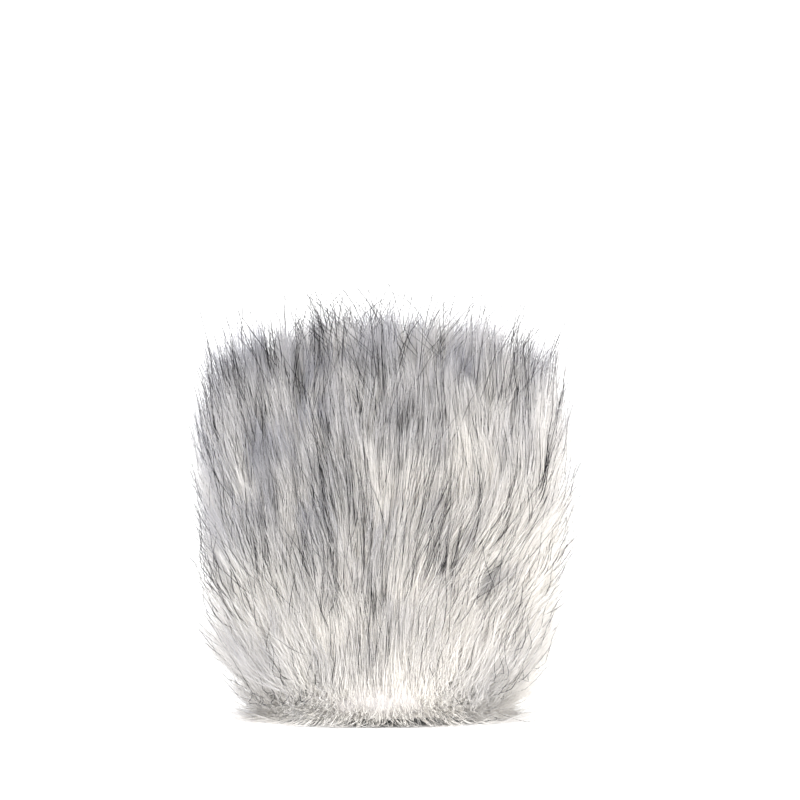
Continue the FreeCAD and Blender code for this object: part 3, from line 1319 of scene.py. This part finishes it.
def tubes(
    name: str, lines: Array, radius: float, finish: bpy.types.Material, sides: int = 6
) -> bpy.types.Object:
    """Makes closed round tubes along many lines, as one piece.

    Ring k of a line has its points at even angles round the line's direction. Both ends are closed
    by one face.

    Args:
        name: The piece's name.
        lines: Points of shape (lines, points, 3), in millimetres.
        radius: The tubes' radius.
        finish: The material.
        sides: Points round a tube.

    Returns:
        The piece.
    """
    count, rings = lines.shape[:2]
    along = unit(np.gradient(lines, axis=1))
    helper = np.where(np.abs(along[..., 2:]) > 0.9, [1.0, 0.0, 0.0], [0.0, 0.0, 1.0])
    across = unit(np.cross(along, helper))
    upward = np.cross(across, along)
    turn = -np.arange(sides) * 2 * math.pi / sides
    rim = across[:, :, None] * np.cos(turn)[:, None] + upward[:, :, None] * np.sin(turn)[:, None]
    points = lines[:, :, None] + rim * radius
    wall = grid_faces(rings, sides, wrap=True)
    base = np.arange(count)[:, None, None] * rings * sides
    walls = (wall[None] + base).reshape(-1, 4).tolist()
    ends = np.stack([np.arange(sides)[::-1], (rings - 1) * sides + np.arange(sides)])
    caps = (ends[None] + base).reshape(-1, sides).tolist()
    return new_piece(name, points, walls + caps, finish)


@dataclass
class SewnSock:
    """The sewn cloth under the pile: two panels of knit, the gathered hem, the elastic and the threads.

    Attributes:
        form: The outer face of the cloth.
        cloth: Thickness of the knit backing.
        allowance: Width of the seam allowances, which stand inside the sock.
        hem_cloth: Thickness of the hem's cloth.
        hem_inner: Inner radius of the hem's tunnel.
        hem_top: Height of the hem's upper edge.
        pleats: Gathers round the whole hem.
        elastic: Inner radius, outer radius, lower edge and upper edge of the elastic.
        lap_deg: Angle over which the elastic's ends lap, at the back.
        thread: Radius of the sewing thread.
        stitch: Pitch of the stitches.
    """

    form: SockForm
    cloth: float = 1.2
    allowance: float = 6.0
    hem_cloth: float = 0.8
    hem_inner: float = 18.1
    hem_top: float = 13.0
    pleats: int = 26
    elastic: tuple[float, float, float, float] = (20.4, 21.4, 5.5, 11.5)
    lap_deg: float = 26.0
    thread: float = 0.2
    stitch: float = 2.6

    def panel(self, panel: Panel, half: Half, finish: bpy.types.Material) -> bpy.types.Object:
        """Makes one half of a panel: the curved cloth, and its allowances folded into the sock.

        Rows run up the cloth and then down into the sock along the top seam. Columns run from the
        panel's middle to the side seam and then into the sock along it. Across an allowance the
        place moves inwards by its width while it keeps close to the seam's plane.

        Args:
            panel: Front or back.
            half: Left or right.
            finish: The material.

        Returns:
            The piece.
        """
        rows, columns, fold = 72, 48, 5
        t = np.concatenate([np.linspace(0.0, self.form.CAP, rows), np.full(fold, self.form.CAP)])
        down = np.concatenate([np.zeros(rows), np.linspace(0, 1, fold + 1)[1:] * self.allowance])
        middle = math.pi / 2 * panel.value
        edge = (math.pi / 2 - math.pi / 2 * half.value) * panel.value
        a = np.concatenate([np.linspace(middle, edge, columns), np.full(fold, edge)])
        aside = np.concatenate([np.zeros(columns), np.linspace(0, 1, fold + 1)[1:] * self.allowance])
        t, a = np.meshgrid(t, a, indexing="ij")
        outer = self.form.point(t, a)
        normal, _ = self.form.frame_at(np.minimum(t, self.form.CAP - 0.002), a)
        inner = outer - normal * self.cloth
        side_fold, top_fold = aside[None, :], down[:, None]
        level = 0.06 + 0.94 * smooth((outer[..., 2] - 24.0) / 4.0)  # the gathers take up the rest
        still = 0 * side_fold + 0 * top_fold
        shift = np.stack([-half.value * side_fold * level, still, still - top_fold], axis=-1)
        depth = self.cloth * 0.75
        folded = np.clip(np.maximum(side_fold, top_fold), 0.0, 1.0)[..., None]
        flat_out, flat_in = outer.copy(), outer.copy()
        flat_out[..., 1] = panel.value * 0.02
        flat_in[..., 1] = panel.value * (0.02 + depth)
        outer = outer * (1 - folded) + flat_out * folded + shift
        inner = inner * (1 - folded) + flat_in * folded + shift
        label = f"knit_backing_{panel.name.lower()}_{half.name.lower()}"
        run = np.concatenate([[0], np.cumsum(np.linalg.norm(np.diff(outer[:, 0], axis=0), axis=1))])
        width = np.linspace(0, 1, columns + fold) * 49.0
        weave = np.stack(np.broadcast_arrays(width[None, :], run[:, None]), axis=-1)
        piece = shell(label, outer, inner, half.value * panel.value > 0, finish, weave)
        follow_mouth(piece, Band.CLOTH)
        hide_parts(f"{panel.name.lower()}_backing")
        return piece

    def gather(self, a: Array, z: Array) -> Array:
        """Gives how far the gathers move the hem's cloth outwards.

        It is a sine of the pleats' number with its phase bent by slower sines, and deepest in the
        middle of the tunnel.

        Args:
            a: Angles round the mouth's axis.
            z: Heights in millimetres.

        Returns:
            Distances in millimetres.
        """
        phase = self.pleats * a + 0.9 * np.sin(3 * a + 1.0) + 0.6 * np.sin(7 * a)
        depth = 0.35 * np.sin(np.clip((z - self.form.hem_low) / 9.0, 0, 1) * math.pi) + 0.12
        return depth * (np.sin(phase) - 0.35)

    def hem(self, half: Half, finish: bpy.types.Material) -> bpy.types.Object:
        """Makes half of the hem's tunnel, cloth folded up round the elastic and gathered by it.

        The section is a U of cloth with a round fold at the bottom: out along one face of the cloth
        and back along the other. It is carried round half of the mouth, and the gathers push both
        walls in and out.

        Args:
            half: Left or right.
            finish: The material.

        Returns:
            The piece.
        """
        outer, inner = self.form.hem_radius - 0.25, self.hem_inner + 0.25
        middle, reach = (outer + inner) / 2, (outer - inner) / 2
        low, top = self.form.hem_low, self.hem_top + 0.3
        fold = np.linspace(0, math.pi, 13)
        walls = []
        for inset in (0.0, self.hem_cloth):
            size = reach - inset
            r = np.concatenate([[outer - inset] * 9, middle + size * np.cos(fold), [inner + inset] * 9])
            up = np.linspace(top, low + reach, 10)[:-1]
            z = np.concatenate([up, low + reach - size * np.sin(fold), up[::-1]])
            walls.append(np.stack([r, z], axis=-1))
        section = np.concatenate([walls[0], walls[1][::-1]])
        columns = 150
        a = np.linspace(math.pi / 2, math.pi / 2 - half.value * math.pi, columns)
        r, z = section[:, 0][None], section[:, 1][None]
        r = r + self.gather(a[:, None], z)
        z = z + 0.25 * np.sin(self.pleats * a[:, None] * 0.5 + 1.0) * smooth((8.0 - z) / 4.0)
        points = np.stack([r * np.cos(a)[:, None], r * np.sin(a)[:, None], z], axis=-1)
        size = section.shape[0]
        faces = grid_faces(columns, size, wrap=True)
        half_size = size // 2
        near = np.arange(half_size - 1)
        cap = np.stack([near, near + 1, size - 2 - near, size - 1 - near], axis=-1)
        last = cap + (columns - 1) * size
        faces = np.concatenate([faces, cap[:, ::-1], last])
        if half is Half.RIGHT:
            faces = faces[:, ::-1]
        run = np.concatenate([[0], np.cumsum(np.linalg.norm(np.diff(section, axis=0), axis=1))])
        cut = np.linspace(0, 1, columns) * 108.0
        weave = np.stack(np.broadcast_arrays(cut[:, None], run[None, :]), axis=-1)
        piece = new_piece(f"gathered_hem_{half.name.lower()}", points, faces.tolist(), finish, weave)
        follow_mouth(piece, Band.HEM)
        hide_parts(f"hem_tunnel_{half.name.lower()}")
        return piece

    def elastic_half(self, half: Half, finish: bpy.types.Material) -> bpy.types.Object:
        """Makes half of the elastic ring with half of its lap.

        The section is a flat rectangle. The lap is a second layer inside the first that ends a few
        degrees from the middle of the back.

        Args:
            half: Left or right.
            finish: The material.

        Returns:
            The piece.
        """
        inner, outer, low, top = self.elastic
        layers = []
        thick = outer - inner
        lap = math.radians(self.lap_deg / 2)
        for r0, r1, span, columns in ((inner, outer, math.pi, 80), (inner - thick, inner, lap, 14)):
            bow = np.linspace(-1, 1, 7)
            z = (low + top) / 2 + bow * (top - low) / 2
            a = math.pi / 2 - half.value * np.linspace(0, span, columns)
            a, z = np.meshgrid(a, z, indexing="ij")
            layers.append([np.stack([r * np.cos(a), r * np.sin(a), z], axis=-1) for r in (r1, r0)])
        name = half.name.lower()
        piece = shell(f"elastic_{name}", *layers[0], half is Half.LEFT, finish)
        lapped = shell(f"elastic_lap_{name}", *layers[1], half is Half.LEFT, finish)
        for made in (piece, lapped):
            follow_mouth(made, Band.HEM)
            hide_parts("elastic_band")
        return piece

    def hem_row(self, half: Half, finish: bpy.types.Material) -> bpy.types.Object:
        """Makes the row of stitches that closes the tunnel, on both of the hem's faces.

        A stitch is an arc on the cloth whose ends dip into it, by a quarter sine at each end.

        Args:
            half: Left or right.
            finish: The material.

        Returns:
            The piece.
        """
        lines = []
        for r, outward in ((self.form.hem_radius - 0.25, 1.0), (self.hem_inner + 0.25, -1.0)):
            count = int(math.pi * r / self.stitch)
            step = math.pi / count
            share = np.linspace(0, 1, 7)[None]
            a = (np.arange(count)[:, None] + 0.5 + (share - 0.5) * 0.86) * step
            a = math.pi / 2 - half.value * a
            z = np.full_like(a, 11.4)
            lift = outward * (self.thread * 0.9 - 0.55 * (1 - np.sin(share * math.pi) ** 0.5))
            radius = r + self.gather(a, z) + lift
            lines.append(np.stack([radius * np.cos(a), radius * np.sin(a), z], axis=-1))
        name = f"hem_stitches_{half.name.lower()}_thread"
        piece = tubes(name, np.concatenate(lines), self.thread, finish)
        follow_mouth(piece, Band.HEM)
        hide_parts(f"hem_stitches_{half.name.lower()}")
        return piece

    def seam_line(self, half: Half, inset: float) -> tuple[Array, Array]:
        """Follows a half of the seam in its plane, a fixed distance inside the cloth's edge.

        Args:
            half: Left or right.
            inset: Distance inside the edge.

        Returns:
            Closely spaced points from the mouth's end to the middle of the top, and the lengths
            along them.
        """
        t = np.linspace(0.27, self.form.CAP, 400)
        side = self.form.point(t, np.full(400, 0.0 if half is Half.RIGHT else math.pi))
        x = np.abs(side[:, 0])
        flow = unit(np.stack([np.gradient(x), np.gradient(side[:, 2])], axis=-1))
        x, z = x - flow[:, 1] * inset, side[:, 2] + flow[:, 0] * inset
        top_x = np.linspace(x[-1], 0.0, 60)[1:]
        x = np.concatenate([x, top_x])
        z = np.concatenate([z, np.full(59, side[-1, 2] - inset)])
        z = np.minimum(z, side[-1, 2] - inset)
        place = np.stack([half.value * x, 0 * x, z], axis=-1)
        run = np.concatenate([[0], np.cumsum(np.linalg.norm(np.diff(place, axis=0), axis=1))])
        return place, run

    def lockstitch(self, half: Half, finish: bpy.types.Material) -> bpy.types.Object:
        """Makes the straight stitches that join the panels, on both faces of the allowances.

        Args:
            half: Left or right.
            finish: The material.

        Returns:
            The piece.
        """
        place, run = self.seam_line(half, 2.6)
        count = int(run[-1] / self.stitch)
        share = np.linspace(0, 1, 7)[None]
        along = (np.arange(count)[:, None] + 0.5 + (share - 0.5) * 0.86) * self.stitch
        x, z = np.interp(along, run, place[:, 0]), np.interp(along, run, place[:, 2])
        height = self.cloth * 0.75 + 0.02 + self.thread * 0.9 - 0.5 * (1 - np.sin(share * math.pi) ** 0.5)
        lines = [np.stack([x, side * height + 0 * x, z], axis=-1) for side in (-1.0, 1.0)]
        name = half.name.lower()
        piece = tubes(f"seam_lockstitch_{name}", np.concatenate(lines), self.thread, finish)
        follow_mouth(piece, Band.CLOTH)
        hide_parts("seam_lockstitch")
        return piece

    def overlock(self, half: Half, finish: bpy.types.Material) -> bpy.types.Object:
        """Makes the overlocking thread that winds round the allowances' raw edges.

        The thread is a flattened helix round a line near the edge: across the seam it swings past
        both layers, and along the seam's plane it reaches from the edge 3 mm into the cloth.

        Args:
            half: Left or right.
            finish: The material.

        Returns:
            The piece.
        """
        place, run = self.seam_line(half, self.allowance - 1.2)
        turns = int(run[-1] / 1.9)
        along = np.linspace(1.0, run[-1] - 0.2, turns * 12)
        angle = np.linspace(0, turns * 2 * math.pi, along.size)
        x, z = np.interp(along, run, place[:, 0]), np.interp(along, run, place[:, 2])
        flow = unit(np.stack([np.gradient(x), np.gradient(z)], axis=-1))
        inward = np.stack([-flow[:, 1] * half.value, flow[:, 0] * half.value], axis=-1)
        reach = 1.45 * np.sin(angle)
        y = 1.15 * np.sign(np.cos(angle)) * np.abs(np.cos(angle)) ** 0.35
        line = np.stack([x + inward[:, 0] * reach, y, z + inward[:, 1] * reach], axis=-1)
        name = half.name.lower()
        piece = tubes(f"seam_overlock_{name}", line[None], 0.17, finish, sides=5)
        follow_mouth(piece, Band.CLOTH)
        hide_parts("seam_overlock")
        return piece

    def build(self) -> None:
        """Builds the cloth, the hem, the elastic and the threads with their finishes."""
        knit = KnitFinish("warp-knitted polyester backing", 0.9, 1.3, ("#7C7978", "#B4B1AD")).make()
        hem_knit = KnitFinish("fine hem knit", 0.7, 1.0, ("#8B8885", "#C2BFB9")).make()
        thread, elastic = ThreadFinish().make(), ElasticFinish().make()
        for half in Half:
            for panel in Panel:
                LOG.info("%s", self.panel(panel, half, knit).name)
            LOG.info("%s", self.hem(half, hem_knit).name)
            LOG.info("%s", self.elastic_half(half, elastic).name)
            LOG.info("%s", self.hem_row(half, thread).name)
            LOG.info("%s", self.lockstitch(half, thread).name)
            LOG.info("%s", self.overlock(half, thread).name)
        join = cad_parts["elastic_join_stitches"]
        join.data.materials.clear()
        join.data.materials.append(thread)


# ---------------------------------------------------------------- riding


def follow_mouth(piece: bpy.types.Object, band: Band) -> None:
    """Parents a piece whose band has no line to the sock's body, and bakes any other's transform into its
    mesh.

    Args:
        piece: The piece.
        band: Its band.
    """
    if not band.value:
        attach(piece, "sock")
        return
    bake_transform(piece)


def dress_as_fur(piece: bpy.types.Object, panel: Panel, half: Half, band: Band) -> None:
    """Passes a piece of fur to follow_mouth, and hides the plain pile solid that it stands for.

    Args:
        piece: The piece.
        panel: Its panel.
        half: Its half of the mouth.
        band: Its band.
    """
    follow_mouth(piece, band)
    if band in (Band.HEM, Band.FRINGE, Band.FLANK):
        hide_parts(f"mouth_pile_{half.name.lower()}")
    else:
        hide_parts(f"{panel.name.lower()}_pile")


# ---------------------------------------------------------------- the studio


@dataclass(frozen=True)
class Studio:
    """White floor, soft light from all round, and a long lens in front.

    Attributes:
        frame_width: Width that the picture takes in at the object, in millimetres.
        aim: x and z that the camera looks at, in millimetres.
        lens: Focal length on a 36 mm sensor.
    """

    frame_width: float = 228.0
    aim: tuple[float, float] = (4.8, 90.6)
    lens: float = 135.0

    def build(self) -> None:
        """Makes the floor, the lights, the world and the camera."""
        self.floor()
        self.light("key", (-0.5, -0.9, 1.1), 0.9, 13.0)
        self.light("fill", (0.9, -0.7, 0.5), 0.9, 6.0)
        world = bpy.data.worlds.new("studio")
        world.use_nodes = True
        world.node_tree.nodes["Background"].inputs["Color"].default_value = (1, 1, 1, 1)
        world.node_tree.nodes["Background"].inputs["Strength"].default_value = 1.85
        bpy.context.scene.world = world
        data = bpy.data.cameras.new("camera")
        data.lens, data.sensor_width = self.lens, 36.0
        camera = bpy.data.objects.new("camera", data)
        distance = self.frame_width * MM * self.lens / 36.0
        camera.location = (self.aim[0] * MM, -distance, self.aim[1] * MM)
        camera.rotation_euler = (math.pi / 2, 0, 0)
        bpy.context.scene.collection.objects.link(camera)
        bpy.context.scene.camera = camera
        bpy.context.scene.view_settings.view_transform = "Standard"

    def floor(self) -> None:
        """Makes a wide white floor just under the windscreen."""
        material, _, shader = new_material("white studio floor")
        shader.inputs["Base Color"].default_value = linear("#F7F7F7")
        shader.inputs["Roughness"].default_value = 0.9
        reach = 30000.0
        corners = np.array([[-1, -1, 0], [1, -1, 0], [1, 1, 0], [-1, 1, 0]], float) * reach
        new_piece("floor", corners, [[0, 1, 2, 3]], material)

    def light(self, name: str, place: tuple[float, float, float], size: float, power: float) -> None:
        """Adds a square soft light that points at the windscreen.

        Args:
            name: The light's name.
            place: Where it stands, in metres.
            size: Its side, in metres.
            power: Its power, in watts.
        """
        data = bpy.data.lights.new(name, "AREA")
        data.size, data.energy = size, power
        lamp = bpy.data.objects.new(name, data)
        lamp.location = place
        lamp.rotation_euler = (Vector((0, 0, 0.06)) - Vector(place)).to_track_quat("-Z", "Y").to_euler()
        bpy.context.scene.collection.objects.link(lamp)


# ---------------------------------------------------------------- assembly


def main() -> None:
    """Builds every part of the windscreen in order and sets up the studio."""
    logging.basicConfig(level=logging.INFO, format="%(message)s")
    sock, form = measured_forms()
    pile = Pile(sock, form, Comb())
    rng = np.random.default_rng(SEED)
    hair = PileFinish(
        name="modacrylic pile",
        root_tones=("#FAF6EF", "#E6E4E2"),
        tip_tones=("#F4F0EB", "#9C9CA5"),
        change=(0.1, 0.95),
    )
    dark = PileFinish(
        name="dark guard hair",
        root_tones=("#E4E0DC", "#C4C1C1"),
        tip_tones=("#2C2A2E", "#0F0E10"),
        change=(0.15, 0.4),
        specular=0.12,
    )
    guides = pile.guides(rng)
    roots, points, tone = pile.fibres(pile.top_coat, pile.count, 0.0, guides, rng)
    pile.part_out("top_coat", roots, points, pile.top_coat.radius, tone, hair.make())
    roots, points, tone = pile.fibres(pile.guard, pile.guards, pile.guards_patchy, guides, rng)
    pile.part_out("guard_hair", roots, points, pile.guard.radius, tone, dark.make())
    pile.undercoat(UndercoatFinish().make())
    SewnSock(sock).build()
    Studio().build()


if __name__ == "__main__":
    main()
